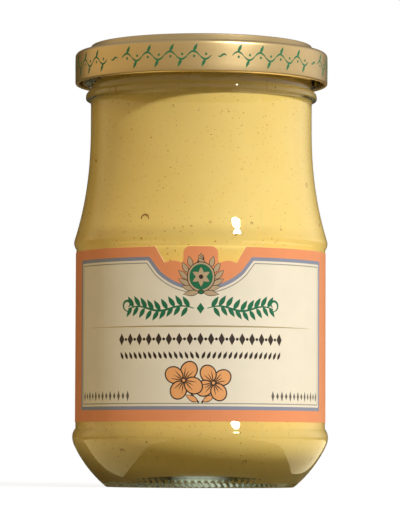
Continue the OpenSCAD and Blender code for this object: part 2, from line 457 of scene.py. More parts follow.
def heel_points(s):
    """The foot ring and the heel, from the foot's inner edge up to the straight wall."""
    panel = panel_radius(s)
    bead_curve = 5 * MM
    top_curve = 3.1 * MM
    lift = 0.3 * MM
    bead_turn, heel_turn = 25, 50
    sin_b, cos_b = math.sin(math.radians(bead_turn)), math.cos(math.radians(bead_turn))
    sin_h, cos_h = math.sin(math.radians(heel_turn)), math.cos(math.radians(heel_turn))
    heel = GLASS_HIGH.x
    top_turn = math.degrees(math.acos(1 - (heel - panel) / top_curve))
    heel_z = s.heel_height - top_curve * math.sin(math.radians(top_turn))
    long_curve = (heel_z - lift - bead_curve * sin_b) / (sin_h - sin_b)
    end_r = heel - bead_curve * (1 - cos_b) - long_curve * (cos_b - cos_h)
    foot_curve = lift / (1 - cos_h)
    foot_r = end_r - foot_curve * sin_h
    long_x = heel - bead_curve - (long_curve - bead_curve) * cos_b
    long_z = heel_z + (long_curve - bead_curve) * sin_b
    knurled_turn = 3
    foot_in = foot_r - s.foot_width
    return foot_in, (
        [(foot_in + (foot_r - foot_in) * t, 0) for t in np.linspace(0, 1, 7)]
        + arc(foot_r, foot_curve, foot_curve, -90, -heel_turn, 4)[1:]
        + arc(long_x, long_z, long_curve, -heel_turn, -heel_turn + knurled_turn, 12)[1:]
        + arc(long_x, long_z, long_curve, -heel_turn + knurled_turn, -bead_turn, 10)[1:]
        + arc(heel - bead_curve, heel_z, bead_curve, -bead_turn, 0, 6)[1:]
        + arc(heel - top_curve, heel_z, top_curve, 0, top_turn, 6)[1:]
    )


def inside_points(s, reach=0.0):
    """Inner face of the glass from the neck down to the middle of the floor, moved out by reach."""
    _, flare_points, bead_z, curve = shoulder(s)
    bore = panel_radius(s) - s.wall
    heel_w, heel_h = 12 * MM, 8.5 * MM
    floor = s.base_thickness + 0.4 * s.push_up
    flare = [(r - s.wall + reach, z) for r, z in flare_points[::-2]]
    bend = arc(bore - curve, bead_z - 1.2 * curve, curve + reach, 30, 0, 4)
    heel = [
        (
            bore - heel_w + (heel_w + reach) * math.cos(a),
            floor + heel_h - (heel_h + reach) * math.sin(a),
        )
        for a in np.linspace(0, math.pi / 2, 17)
    ]
    rise = [
        ((bore - heel_w) * (1 - t), floor - reach + 0.4 * s.push_up * t) for t in (0.35, 0.7, 1)
    ]
    return flare + bend + heel + rise


def glass_outline(s):
    """Half-section of the glass, and how much each point takes the foot's bars."""
    foot_in, heel = heel_points(s)
    bead_points, flare_points, _, _ = shoulder(s)
    neck, rim = s.neck_radius, GLASS_HIGH.z
    ring_z = LID_LOW.z - 3 * MM
    fillet = [(0.0, 2.0), (0.1, 1.5), (0.3, 1.1)]
    crest = neck + s.ring_proud
    ring = (
        [(neck + out * MM, ring_z - down * MM) for out, down in fillet]
        + arc(crest - 0.5 * MM, ring_z - 0.35 * MM, 0.5 * MM, -80, 0, 5)
        + [
            (neck + s.ring_proud * math.cos(a), ring_z + 1.4 * MM * math.sin(a))
            for a in np.linspace(0.25, math.pi / 2, 7)
        ]
    )
    lip, lip_in = 1.4 * MM, 0.8 * MM
    thread_rows = [(neck, z) for z in np.linspace(ring_z + 1.75 * MM, rim - lip - 0.1 * MM, 28)]
    under_r, under_rise = foot_in - s.foot_ring, s.push_up - s.foot_ring
    under = [(under_r * t, s.push_up - under_rise * t * t) for t in np.linspace(0, 1, 8)]
    points = (
        under
        + heel
        + bead_points
        + flare_points[1:]
        + ring
        + thread_rows
        + arc(neck - lip, rim - lip, lip, 0, 90, 7)
        + arc(neck - s.wall + lip_in, rim - lip_in, lip_in, 90, 180, 5)
        + inside_points(s)
    )
    first_heel = len(under)
    foot = [
        (
            ease(r, foot_in + 0.3 * MM, foot_in + 0.8 * MM) * (1 - ease(z, 0.9 * MM, 1.5 * MM))
            if first_heel <= i < first_heel + len(heel)
            else 0.0
        )
        for i, (r, z) in enumerate(points)
    ]
    return points, foot


def raise_threads_and_seam(mesh, s):
    """Raise the four threads on the neck, and the two fine lines where the mould's halves met."""
    count = len(mesh.vertices)
    co = np.empty(count * 3)
    mesh.vertices.foreach_get("co", co)
    co = co.reshape(-1, 3)
    radius = np.hypot(co[:, 0], co[:, 1])
    angle = np.arctan2(co[:, 1], co[:, 0])
    z = co[:, 2]
    section = 1.3 * MM
    sweep, rise, quarter = math.radians(70), 2.9 * MM, math.pi / 2
    middle_r = s.neck_radius + s.thread_proud - section
    slope = rise / (2 * middle_r * math.sin(sweep / 2))
    along = np.mod(angle, quarter)
    centre = LID_LOW.z + 2.05 * MM + middle_r * np.sin(along - sweep / 2) * slope
    reach = np.sqrt(np.clip(section**2 - (z - centre) ** 2, 0, None)) + middle_r - s.neck_radius
    ends = np.clip(along / math.radians(2.2), 0, 1) * np.clip((sweep - along) / math.radians(3), 0, 1)
    on_thread = (np.abs(z - centre) < section) & (radius > s.neck_radius - 0.1 * MM)
    on_thread &= z > LID_LOW.z - 1.9 * MM
    out = np.where(on_thread, np.clip(reach, 0, None) * np.sqrt(ends), 0)

    # Each seam runs up one column of points, from above the knurls to below the transfer ring.
    seam_angle, seam_width, seam_height = math.radians(-59.25), math.radians(0.4), 0.07 * MM
    off = np.mod(angle - seam_angle + quarter, math.pi) - quarter
    on_wall = (radius > s.neck_radius - 0.3 * MM) & (z > 2 * MM) & (z < LID_LOW.z - 5 * MM)
    out += np.where(on_wall, seam_height * np.exp(-((off / seam_width) ** 2)), 0)
    co[:, :2] *= (1 + out / np.maximum(radius, MM))[:, None]
    mesh.vertices.foreach_set("co", co.ravel())
    mesh.update()


def lid_outline(s, neck):
    """Closed half-section of the tinplate: its outer face down to the curl, then its inner face."""
    rim = LID_HIGH.z
    foot = neck + 0.75 * MM + s.plate
    tier = foot - 0.9 * MM
    recess_r = neck - 2.7 * MM
    ledge = rim - s.tier_height
    outer = LID_HIGH.x
    bend, edge = 1.1 * MM, 0.5 * MM
    sunk = rim - s.recess
    face = (
        [(r, sunk) for r in np.linspace(0, recess_r - s.recess - 0.5 * MM, 4)]
        + arc(recess_r - s.recess - 0.5 * MM, sunk + 0.5 * MM, 0.5 * MM, -80, -45, 4)
        + arc(recess_r + 0.3 * MM, rim - 0.5 * MM, 0.5 * MM, 130, 90, 4)
        + arc(tier - edge, rim - edge, edge, 90, 12, 8)
        + arc(foot + 0.35 * MM, ledge + 0.35 * MM, 0.35 * MM, 195, 265, 5)
        + arc(outer - bend, ledge - bend, bend, 88, 0, 10)
        + [(outer, z) for z in np.linspace(ledge - bend, LID_LOW.z + s.curl, 5)[1:-1]]
        + arc(outer - s.curl, LID_LOW.z + s.curl, s.curl, 0, -240, 20)
    )
    points = np.array(face)
    step = np.gradient(points, axis=0)
    step /= np.linalg.norm(step, axis=1)[:, None]
    inner = points + s.plate * np.column_stack((step[:, 1], -step[:, 0]))
    inner[0, 0] = 0
    return face, [tuple(p) for p in inner[::-1]]


# ---------------------------------------------------------------- materials


def new_material(name):
    """An empty material, its tree and its output node."""
    material = bpy.data.materials.new(name)
    material.use_nodes = True
    material.node_tree.nodes.clear()
    return material, material.node_tree


def noise_scale(size_mm):
    """Noise scale that gives lumps of about this size, on coordinates in metres."""
    return 1 / (size_mm * MM)


def pressed_glass(s):
    """Soda-lime glass, pressed and fire polished: clear, faintly green and gently wavy.

    Lamps and scattered light pass straight through it, so that the paste behind it is lit."""
    material, tree = new_material("pressed soda-lime glass")
    here = add_node(tree, "ShaderNodeTexCoord").outputs["Object"]
    waves = add_node(
        tree, "ShaderNodeTexNoise", {"Vector": here, "Scale": noise_scale(9), "Detail": 1.0}
    )
    bump = add_node(
        tree, "ShaderNodeBump",
        {"Height": waves.outputs["Fac"], "Strength": 0.25, "Distance": 0.12 * MM}
    )
    polish = add_node(
        tree, "ShaderNodeMapRange", {"Value": waves.outputs["Fac"], "To Min": 0.0, "To Max": 0.03}
    )
    glass = add_node(
        tree, "ShaderNodeBsdfPrincipled",
        {
            "Base Color": (*s.tint, 1), "Roughness": polish, "IOR": 1.52, "Transmission Weight": 1.0,
            "Normal": bump
        }
    )
    passing = add_node(tree, "ShaderNodeBsdfTransparent", {"Color": (0.97, 0.985, 0.97, 1)})
    ray = add_node(tree, "ShaderNodeLightPath")
    lamp = add_node(
        tree, "ShaderNodeMath", {0: ray.outputs["Is Shadow Ray"], 1: ray.outputs["Is Diffuse Ray"]},
        operation="MAXIMUM"
    )
    mixed = add_node(tree, "ShaderNodeMixShader", {0: lamp, 1: glass, 2: passing})
    add_node(tree, "ShaderNodeOutputMaterial", {0: mixed})
    return material


def mustard_paste(s):
    """Stone-ground mustard: a smooth opaque paste with creamier streaks and fine bran."""
    material, tree = new_material("stone-ground mustard paste")
    here = add_node(tree, "ShaderNodeTexCoord").outputs["Object"]
    streaks = add_node(
        tree, "ShaderNodeTexNoise",
        {"Vector": here, "Scale": noise_scale(14), "Detail": 3.0, "Distortion": 0.6}
    )
    ground = add_node(
        tree, "ShaderNodeMix", {"Factor": streaks.outputs["Fac"], 6: (*s.paste, 1), 7: (*s.pale, 1)},
        data_type="RGBA"
    )
    # Bran too fine to model one by one, as soft dots a few tenths of a millimetre across.
    grain = add_node(tree, "ShaderNodeTexVoronoi", {"Vector": here, "Scale": noise_scale(1.5)})
    fleck = add_node(
        tree, "ShaderNodeMapRange",
        {
            "Value": grain.outputs["Distance"], "From Min": 0.09, "From Max": 0.2, "To Min": 0.3,
            "To Max": 0.0
        }
    )
    coloured = add_node(
        tree, "ShaderNodeMix", {"Factor": fleck, 6: ground.outputs[2], 7: (*s.bran, 1)},
        data_type="RGBA"
    )
    fine = add_node(
        tree, "ShaderNodeTexNoise", {"Vector": here, "Scale": noise_scale(0.8), "Detail": 2.0}
    )
    bump = add_node(
        tree, "ShaderNodeBump", {"Height": fine.outputs["Fac"], "Strength": 0.15, "Distance": 0.05 * MM}
    )
    sheen = add_node(
        tree, "ShaderNodeMapRange", {"Value": fine.outputs["Fac"], "To Min": 0.4, "To Max": 0.6}
    )
    # The glass is denser than the wet skin of the paste, so what is met at a shallow angle
    # through the glass, as under the floor of the jar, is a mirror.
    skin = add_node(tree, "ShaderNodeNewGeometry")
    facing = add_node(
        tree, "ShaderNodeVectorMath", {0: skin.outputs["Incoming"], 1: skin.outputs["True Normal"]},
        operation="DOT_PRODUCT"
    )
    mirror = add_node(
        tree, "ShaderNodeMapRange",
        {
            "Value": facing.outputs["Value"], "From Min": 0.38, "From Max": 0.44, "To Min": 1.0,
            "To Max": 0.0
        }
    )
    # A little light of its own stands in for the pale studio that shows in that mirror, and it
    # is kept to the middle.
    aside = add_node(tree, "ShaderNodeSeparateXYZ", {0: here})
    off = add_node(tree, "ShaderNodeMath", {0: aside.outputs["X"]}, operation="ABSOLUTE")
    middle = add_node(
        tree, "ShaderNodeMapRange",
        {"Value": off, "From Min": 2 * MM, "From Max": 6.5 * MM, "To Min": 0.35, "To Max": 0.0}
    )
    gleam = add_node(tree, "ShaderNodeMath", {0: middle, 1: mirror}, operation="MULTIPLY")
    seen_colour = add_node(
        tree, "ShaderNodeMix", {"Factor": mirror, 6: coloured.outputs[2], 7: (0.44, 0.5, 0.36, 1)},
        data_type="RGBA"
    )
    seen_rough = add_node(tree, "ShaderNodeMix", {"Factor": mirror, 2: sheen, 3: 0.04})
    paste = add_node(
        tree, "ShaderNodeBsdfPrincipled",
        {
            "Base Color": seen_colour.outputs[2], "Metallic": mirror,
            "Emission Color": (0.82, 0.92, 0.72, 1), "Emission Strength": gleam,
            "Roughness": seen_rough, "Specular IOR Level": 0.15, "Subsurface Weight": 0.2,
            "Subsurface Radius": (1.0, 0.6, 0.2), "Subsurface Scale": 1.2 * MM, "Normal": bump
        }
    )
    add_node(tree, "ShaderNodeOutputMaterial", {0: paste})
    return material


def speck_material(name, tint, dark):
    """Ground mustard bran: matt flakes, each a little lighter or darker. Darkened further, it also
    gives the painted shade at the air pockets' rims.
    """
    material, tree = new_material(name)
    here = add_node(tree, "ShaderNodeTexCoord").outputs["Object"]
    tone = add_node(
        tree, "ShaderNodeTexNoise", {"Vector": here, "Scale": noise_scale(4), "Detail": 0.0}
    )
    shade = add_node(
        tree, "ShaderNodeMix",
        {"Factor": tone.outputs["Fac"], 6: (*tint, 1), 7: (*[c * dark for c in tint], 1)},
        data_type="RGBA"
    )
    rough = add_node(
        tree, "ShaderNodeMapRange", {"Value": tone.outputs["Fac"], "To Min": 0.5, "To Max": 0.8}
    )
    flake = add_node(
        tree, "ShaderNodeBsdfPrincipled",
        {"Base Color": shade.outputs[2], "Roughness": rough, "Specular IOR Level": 0.1}
    )
    add_node(tree, "ShaderNodeOutputMaterial", {0: flake})
    return material


def gold_tinplate(s):
    """Tinplate, rolled and stove-lacquered gold: a satin metal with a faint rolling grain."""
    material, tree = new_material("gold-lacquered tinplate")
    here = add_node(tree, "ShaderNodeTexCoord").outputs["Object"]
    stretched = add_node(tree, "ShaderNodeMapping", {"Vector": here, "Scale": (1.0, 1.0, 9.0)})
    grain = add_node(
        tree, "ShaderNodeTexNoise", {"Vector": stretched, "Scale": noise_scale(1.6), "Detail": 3.0}
    )
    cloud = add_node(tree, "ShaderNodeTexNoise", {"Vector": here, "Scale": noise_scale(16)})
    rough = add_node(
        tree, "ShaderNodeMapRange", {"Value": grain.outputs["Fac"], "To Min": 0.3, "To Max": 0.42}
    )
    tone = add_node(
        tree, "ShaderNodeMix",
        {"Factor": cloud.outputs["Fac"], 6: (*s.gold, 1), 7: (*[c * 0.9 for c in s.gold], 1)},
        data_type="RGBA"
    )
    bump = add_node(
        tree, "ShaderNodeBump",
        {"Height": grain.outputs["Fac"], "Strength": 0.12, "Distance": 0.02 * MM}
    )
    metal = add_node(
        tree, "ShaderNodeBsdfPrincipled",
        {
            "Base Color": tone.outputs[2], "Metallic": 1.0, "Roughness": rough, "Normal": bump,
            "Coat Weight": 0.35, "Coat Roughness": 0.12
        }
    )
    add_node(tree, "ShaderNodeOutputMaterial", {0: metal})
    return material


def ink(name, tint, gloss=0.45, metallic=0.0):
    """Offset ink on coated paper: flat colour that takes the paper's fibre and a slight mottle."""
    material, tree = new_material(name)
    here = add_node(tree, "ShaderNodeTexCoord").outputs["Object"]
    fibre = add_node(
        tree, "ShaderNodeTexNoise", {"Vector": here, "Scale": noise_scale(0.45), "Detail": 3.0}
    )
    mottle = add_node(
        tree, "ShaderNodeTexNoise", {"Vector": here, "Scale": noise_scale(5), "Detail": 2.0}
    )
    tone = add_node(
        tree, "ShaderNodeMix",
        {
            "Factor": mottle.outputs["Fac"], 6: (*[min(c * 1.03, 1) for c in tint], 1),
            7: (*[c * 0.94 for c in tint], 1)
        }, data_type="RGBA"
    )
    rough = add_node(
        tree, "ShaderNodeMapRange",
        {"Value": fibre.outputs["Fac"], "To Min": gloss - 0.06, "To Max": gloss + 0.08}
    )
    bump = add_node(
        tree, "ShaderNodeBump", {"Height": fibre.outputs["Fac"], "Strength": 0.2, "Distance": 0.02 * MM}
    )
    print_layer = add_node(
        tree, "ShaderNodeBsdfPrincipled",
        {
            "Base Color": tone.outputs[2], "Metallic": metallic, "Roughness": rough,
            "Specular IOR Level": 0.3, "Normal": bump
        }
    )
    add_node(tree, "ShaderNodeOutputMaterial", {0: print_layer})
    return material


# ---------------------------------------------------------------- drawing on a flat sheet
# Shapes for print are lists of (across, up) in millimetres. Each drawing is a list of
# (outline, ink name), and a later shape covers an earlier one.


def ellipse(x, z, rx, rz, points=20, turn=0.0):
    """An ellipse, turned by an angle in degrees."""
    c, s = math.cos(math.radians(turn)), math.sin(math.radians(turn))
    angles = [TURN * i / points for i in range(points)]
    flat = [(rx * math.cos(a), rz * math.sin(a)) for a in angles]
    return [(x + u * c - v * s, z + u * s + v * c) for u, v in flat]


def leaf(x, z, size, width, turn, points=7):
    """A pointed leaf that grows from (x, z) at an angle in degrees."""
    c, s = math.cos(math.radians(turn)), math.sin(math.radians(turn))
    half = [
        (size * i / points, width / 2 * math.sin(math.pi * (i / points) ** 0.8))
        for i in range(points + 1)
    ]
    flat = half + [(u, -v) for u, v in reversed(half[1:-1])]
    return [(x + u * c - v * s, z + u * s + v * c) for u, v in flat]


def stroke(line, widths):
    """A pen stroke along a line, with its width at each point."""
    line = np.array(line)
    step = np.gradient(line, axis=0)
    step /= np.linalg.norm(step, axis=1)[:, None]
    side = np.column_stack((-step[:, 1], step[:, 0])) * (np.array(widths) / 2)[:, None]
    return [tuple(p) for p in line + side] + [tuple(p) for p in (line - side)[::-1]]


def swelling_stroke(line, thin, thick):
    """A pen stroke that is thin at its ends and thick in its middle."""
    share = np.linspace(0, math.pi, len(line))
    return stroke(line, thin + (thick - thin) * np.sin(share))


def mirrored(outline):
    """The same outline on the other side of the middle line."""
    return [(-x, z) for x, z in reversed(outline)]


def both_sides(drawing):
    """A drawing with its mirror image."""
    return drawing + [(mirrored(outline), name) for outline, name in drawing]


def outlined_leaf(x, z, size, width, turn, name, line=0.16):
    """A leaf with a dark edge."""
    c, s = math.cos(math.radians(turn)), math.sin(math.radians(turn))
    back = (x - line * c, z - line * s)
    return [
        (leaf(*back, size + 2 * line, width + 2 * line, turn), "dark"),
        (leaf(x, z, size, width, turn), name),
    ]


def panel_frame(inset):
    """Edge of the front panel, moved inward by inset: a rectangle whose top edge dips in an arc."""
    half_w, low, high = 37.0 - inset, 18.4 + inset, 54.4 - inset
    centre_z, dip_r = 61.5, 14.3 + inset
    turn = math.radians(44)
    dip = [
        (dip_r * math.sin(a), centre_z - dip_r * math.cos(a)) for a in np.linspace(-turn, turn, 25)
    ]
    slant = 0.78
    end_x, end_z = dip[-1]
    corner = end_x + (high - end_z) * slant
    return (
        [(-half_w, low), (half_w, low), (half_w, high), (corner, high)]
        + dip[::-1]
        + [(-corner, high), (-half_w, high)]
    )


def plain_frame(middle, half_w, inset):
    """Edge of a plain panel on the label's side."""
    left, right = middle - half_w + inset, middle + half_w - inset
    return [(left, 18.4 + inset), (right, 18.4 + inset), (right, 54.4 - inset), (left, 54.4 - inset)]


def framed(edge):
    """A cream panel inside a silver band with a fine dark line."""
    return [
        (edge(0.0), "silver"),
        (edge(0.85), "cream"),
        (edge(1.35), "dark line"),
        (edge(1.6), "cream"),
    ]


def medallion(x, z):
    """A round green badge with a rosette, between sprays of tan leaves."""
    art = []
    for i in range(5):
        turn = 90 + (i - 2) * 24
        root = (x + (i - 2) * 0.45, z + 2.9)
        art += outlined_leaf(*root, 2.6 - 0.25 * abs(i - 2), 1.0, turn, "tan")
    for side in (-1, 1):
        for i in range(5):
            bend = math.radians(-62 + 27 * i)
            root = (x + side * 3.3 * math.cos(bend), z + 3.3 * math.sin(bend))
            lift = 12 + 16 * i
            turn = lift if side > 0 else 180 - lift
            art += outlined_leaf(*root, 3.1 - 0.15 * i, 1.1, turn, "tan")
        art += outlined_leaf(x + side * 0.6, z - 3.6, 3.6, 1.15, -8 if side > 0 else 188, "tan")
    art += [
        (ellipse(x, z, 3.35, 3.6, 32), "dark"),
        (ellipse(x, z, 3.15, 3.4, 32), "tan"),
        (ellipse(x, z, 2.75, 3.0, 32), "green"),
    ]
    for i in range(6):
        turn = 60 * i + 30
        art.append((leaf(x, z, 2.3, 1.15, turn), "tan"))
    art.append((ellipse(x, z, 0.55, 0.55, 12), "dark"))
    art.append((ellipse(x, z - 3.55, 0.75, 0.6, 12), "dark"))
    art.append((ellipse(x, z - 3.55, 0.55, 0.42, 12), "green"))
    return art


def leafy_flourish(z):
    """A pair of leafy sprays in green that spread from a small lozenge."""
    art = [([(-0.9, z), (0, z - 1.3), (0.9, z), (0, z + 1.3)], "green")]
    root, tip = 1.6, 18.2
    waves, sway = 3, 0.55

    def stem_height(x):
        return z + sway * math.sin((x - root) / 16.6 * waves * math.pi)

    stem = [(x, stem_height(x)) for x in np.linspace(root, tip, 40)]
    half = [(swelling_stroke(stem, 0.2, 0.5), "green")]
    for i in range(9):
        x = 2.6 + 1.75 * i
        half.append((leaf(x, stem_height(x), 3.0, 1.15, 57), "green"))
        half.append((leaf(x + 0.5, stem_height(x), 2.8, 1.05, -57), "green"))
    angles = np.linspace(-math.pi / 2, 1.35 * math.pi, 26)
    curl = [
        (18.3 + (1.5 - 0.2 * i / 5) * math.cos(a), z + 0.95 + (1.5 - 0.2 * i / 5) * math.sin(a))
        for i, a in enumerate(angles)
    ]
    half.append((swelling_stroke(curl, 0.2, 0.55), "green"))
    return art + both_sides(half)


def lozenge_row(z, height, step, half_w):
    """A row of dark lozenges with a dot between each two."""
    art = []
    count = round(2 * half_w / step)
    for i in range(count + 1):
        x = -half_w + step * i
        w = height * 0.27
        art.append(([(x - w, z), (x, z - height / 2), (x + w, z), (x, z + height / 2)], "dark"))
        if i < count:
            art.append((ellipse(x + step / 2, z, height * 0.13, height * 0.13, 8), "dark"))
    return art


def grain_row(z, height, step, half_w):
    """A row of small dark grains, leaning out from the middle."""
    count = round(half_w / step)
    grains = [
        (leaf(step * (i + 0.5) - 0.3, z - height / 2, height * 1.1, 0.72, 66, 5), "dark")
        for i in range(count)
    ]
    return both_sides(grains)


def blossom(x, z, size, turn):
    """A mustard flower: four round petals with dark edges and veins."""
    art = []
    for i in range(4):
        a = turn + 90 * i
        c, s = math.cos(math.radians(a)), math.sin(math.radians(a))
        mid = (x + 0.58 * size * c, z + 0.58 * size * s)
        art.append((ellipse(*mid, 0.52 * size, 0.46 * size, 20, a), "dark"))
        art.append((ellipse(*mid, 0.52 * size - 0.3, 0.46 * size - 0.3, 20, a), "orange"))
        for lean in (-20, 0, 20):
            art.append((leaf(x, z, size * (0.72 if lean else 0.6), 0.26, a + lean, 4), "dark"))
    art.append((ellipse(x, z, 0.62, 0.62, 12), "dark"))
    art.append((ellipse(x, z, 0.36, 0.36, 10), "orange"))
    return art


def blossoms():
    """Two flowers on short stems, with a leaf on each side."""
    art = []
    for side in (-1, 1):
        stem = [(side * (3.2 - 0.95 * t), 23.5 - 1.15 * t) for t in np.linspace(0, 3, 6)]
        art.append((stroke(stem, [0.45] * 6), "dark"))
        art += outlined_leaf(side * 0.7, 20.4, 3.0, 1.1, 90 - side * 62, "orange", 0.2)
    return art + blossom(3.1, 24.7, 4.3, 30) + blossom(-3.9, 25.3, 4.5, 62)


def label_drawing(half_length, low, high):
    """All of the label's print, over a salmon ground. Sizes in millimetres."""
    notch_z = high - 3.9
    nick = [
        (4.4 + 4.2 * t, notch_z + 0.55 * math.sin(math.pi * t)) for t in np.linspace(0, 1, 9)
    ]
    tab = arc(2.5, high - 1.6, 1.6, 90, 0, 8)
    notch = tab + [(4.1, notch_z + 0.8)] + nick + [(10.9, high)]
    top = [(half_length, high)] + notch[::-1] + mirrored(notch[::-1]) + [(-half_length, high)]
    art = [([(-half_length, low), (half_length, low)] + top, "salmon")]
    for side in (-1, 1):
        art += framed(lambda inset, side=side: plain_frame(side * 68.5, 19, inset))
    art += framed(panel_frame)
    art += medallion(0.1, 49.6)
    art += leafy_flourish(42.2)
    foil = [(x, 38.0) for x in np.linspace(-31.5, 31.5, 30)]
    art.append((swelling_stroke(foil, 0.06, 0.34), "foil"))
    art += lozenge_row(35.0, 2.9, 2.5, 20)
    art += grain_row(31.2, 1.8, 1.28, 20.5)
    art += blossoms()
    for side in (-1, 1):
        for i in range(13):
            x = side * (18.2 + 1.36 * i)
            tall = 1.25 if i % 2 == 0 else 0.85
            mark = [(x - 0.42, 21.7), (x, 21.7 - tall), (x + 0.42, 21.7), (x, 21.7 + tall)]
            art.append((mark, "soft dark"))
    return art


def vine_drawing(start, strip, middle, count):
    """Lengths of a slender running vine on a strip, with a wavy dash in each gap between them."""
    end = start + strip
    low, high = middle - 3.4, middle + 3.4
    art = [([(start, low), (end, low), (end, high), (start, high)], "bare")]
    pitch = strip / count
    waves = 8
    span = 0.82 * pitch / waves
    for k in range(count):
        for i in range(waves):
            sign = 1 if i % 2 == 0 else -1
            x = start + pitch * (k + 0.09) + span * i
            line = [
                (x + span * t, middle + sign * 0.95 * math.sin(math.pi * t))
                for t in np.linspace(0, 1, 9)
            ]
            art.append((swelling_stroke(line, 0.16, 0.46), "ink"))
            crest = (x + span * 0.5, middle + sign * 0.9)
            art.append((leaf(*crest, 2.1, 0.72, 64 if sign > 0 else -116), "ink"))
            art.append((ellipse(x + span * 0.55, middle - sign * 0.25, 0.27, 0.32, 10), "ink"))
        dash = [
            (start + pitch * k + t, middle + 0.3 * math.sin(TURN * t / 2.2))
            for t in np.linspace(-0.9, 1.1, 9)
            if k
        ]
        if dash:
            art.append((swelling_stroke(dash, 0.2, 0.45), "ink"))
    lines = [(x, low, high) for x in np.linspace(start, end, 182)[1:-1]]
    return art, lines


def drawn_sheet(drawing, upright_lines):
    """Cut a flat sheet along every outline. Returns its points, triangles and each one's ink."""
    points, outlines, names = [], [], []
    for outline, name in drawing:
        across, up = np.array(outline).T
        if np.dot(across, np.roll(up, -1)) < np.dot(up, np.roll(across, -1)):
            outline = outline[::-1]
        outlines.append(list(range(len(points), len(points) + len(outline))))
        names.append(name)
        points += outline
    edges = []
    for x, low, high in upright_lines:
        edges.append((len(points), len(points) + 1))
        points += [(x, low), (x, high)]
    flat, _, triangles, _, _, sources = delaunay_2d_cdt(
        [Vector(p) for p in points], edges, outlines, 0, 1e-5
    )
    kept = [(t, names[max(s)]) for t, s in zip(triangles, sources) if 0 in s]
    return [tuple(p) for p in flat], kept


def wrapped_solid(name, flat, triangles, inks, inner, outer):
    """Bend a flat sheet round the axis and give it thickness. inner and outer give the radius
    at a place across the sheet, and across 0 faces -Y. Faces past the outer one are bare paper."""
    bend_r = outer(0)
    count = len(flat)
    points = []
    for face in (outer, inner):
        for x, z in flat:
            a = x * MM / bend_r - math.pi / 2
            r = face(x)
            points.append((r * math.cos(a), r * math.sin(a), z * MM))
    faces = [tuple(t) for t, _ in triangles]
    paint = [inks.index(n) for _, n in triangles]
    edges = {(t[i], t[(i + 1) % 3]) for t in faces for i in range(3)}
    rim = sorted(e for e in edges if e[::-1] not in edges)
    back = [tuple(i + count for i in reversed(t)) for t in faces]
    sides = [(b, a, a + count, b + count) for a, b in rim]
    bare = inks.index("bare")
    mesh = bpy.data.meshes.new(name)
    mesh.from_pydata(points, [], faces + back + sides)
    mesh.polygons.foreach_set("material_index", paint + [bare] * (len(back) + len(sides)))
    mesh.polygons.foreach_set("use_smooth", [True] * len(mesh.polygons))
    # A normal straight out from the axis on each face keeps the bend smooth across thin slivers.
    normals = []
    for polygon in mesh.polygons:
        flat_side = polygon.index >= 2 * len(faces)
        sign = 1 if polygon.index < len(faces) else -1
        for i in polygon.vertices:
            x, y, _ = points[i]
            r = math.hypot(x, y)
            normals.append(polygon.normal if flat_side else (sign * x / r, sign * y / r, 0))
    mesh.normals_split_custom_set(normals)
    piece = bpy.data.objects.new(name, mesh)
    bpy.context.collection.objects.link(piece)
    return piece


# ---------------------------------------------------------------- operators


class GlassOperator(bpy.types.Operator):
    """Press the glass jar: heel, flare, ring, threads, lip and knurled foot"""

    bl_idname = "mustard_jar.make_glass"
    bl_label = "Glass"

    def execute(self, context):
        s = context.scene.mustard_jar.glass
        points, foot = glass_outline(s)
        values = {
            "Columns": 5 * s.knurl_count, "Bars": s.knurl_count, "Bar depth": s.knurl_depth,
            "Bar slant": 0.55 * TURN / MM, "Sharp angle": math.radians(50), "Material": pressed_glass(s)
        }
        piece = grow("jar_glass", line_mesh("glass half-section", points, foot), lathe_tree(), values)
        raise_threads_and_seam(piece.data, s)
        place(piece, "glass", "glass_jar")
        return {"FINISHED"}


class MustardOperator(bpy.types.Operator):
    """Fill the jar, with the paste reaching just into the glass"""

    bl_idname = "mustard_jar.make_mustard"
    bl_label = "Mustard"

    def execute(self, context):
        settings = context.scene.mustard_jar
        top = MUSTARD_HIGH.z
        side = [p for p in inside_points(settings.glass, settings.mustard.bite) if p[1] < top]
        bore = side[0][0]
        neck = [(bore, z) for z in np.linspace(top - 0.6 * MM, side[0][1], 12)[:-1]]
        surface = [
            (bore * t, top - 0.5 * MM * math.sin(math.pi * t) ** 2 - 0.6 * MM * ease(t, 0.93, 1))
            for t in np.linspace(0, 1, 14)[:-1]
        ]
        outline = (surface + neck + side)[::-1]
        values = {
            "Columns": 240, "Sharp angle": math.radians(80), "Material": mustard_paste(settings.mustard)
        }
        piece = grow("mustard_fill", line_mesh("filling half-section", outline), lathe_tree(), values)
        place(piece, "mustard", "mustard")
        return {"FINISHED"}


class SpecksOperator(bpy.types.Operator):
    """Scatter bran specks over the paste"""

    bl_idname = "mustard_jar.scatter_specks"
    bl_label = "Bran specks"

    def execute(self, context):
        s = context.scene.mustard_jar.mustard
        values = {
            "Density": s.speck_density, "Radius": s.speck_radius, "Covered from": LABEL_LOW.z + MM,
            "Covered to": LABEL_HIGH.z - 5 * MM, "Lowest": 5.6 * MM, "Seed": 7,
            "Material": speck_material("ground mustard bran", s.bran, 0.7)
        }
        paste = bpy.data.objects["mustard_fill"].data
        piece = grow("bran_specks", paste.copy(), speck_tree(), values)
        place(piece, "mustard")
        return {"FINISHED"}


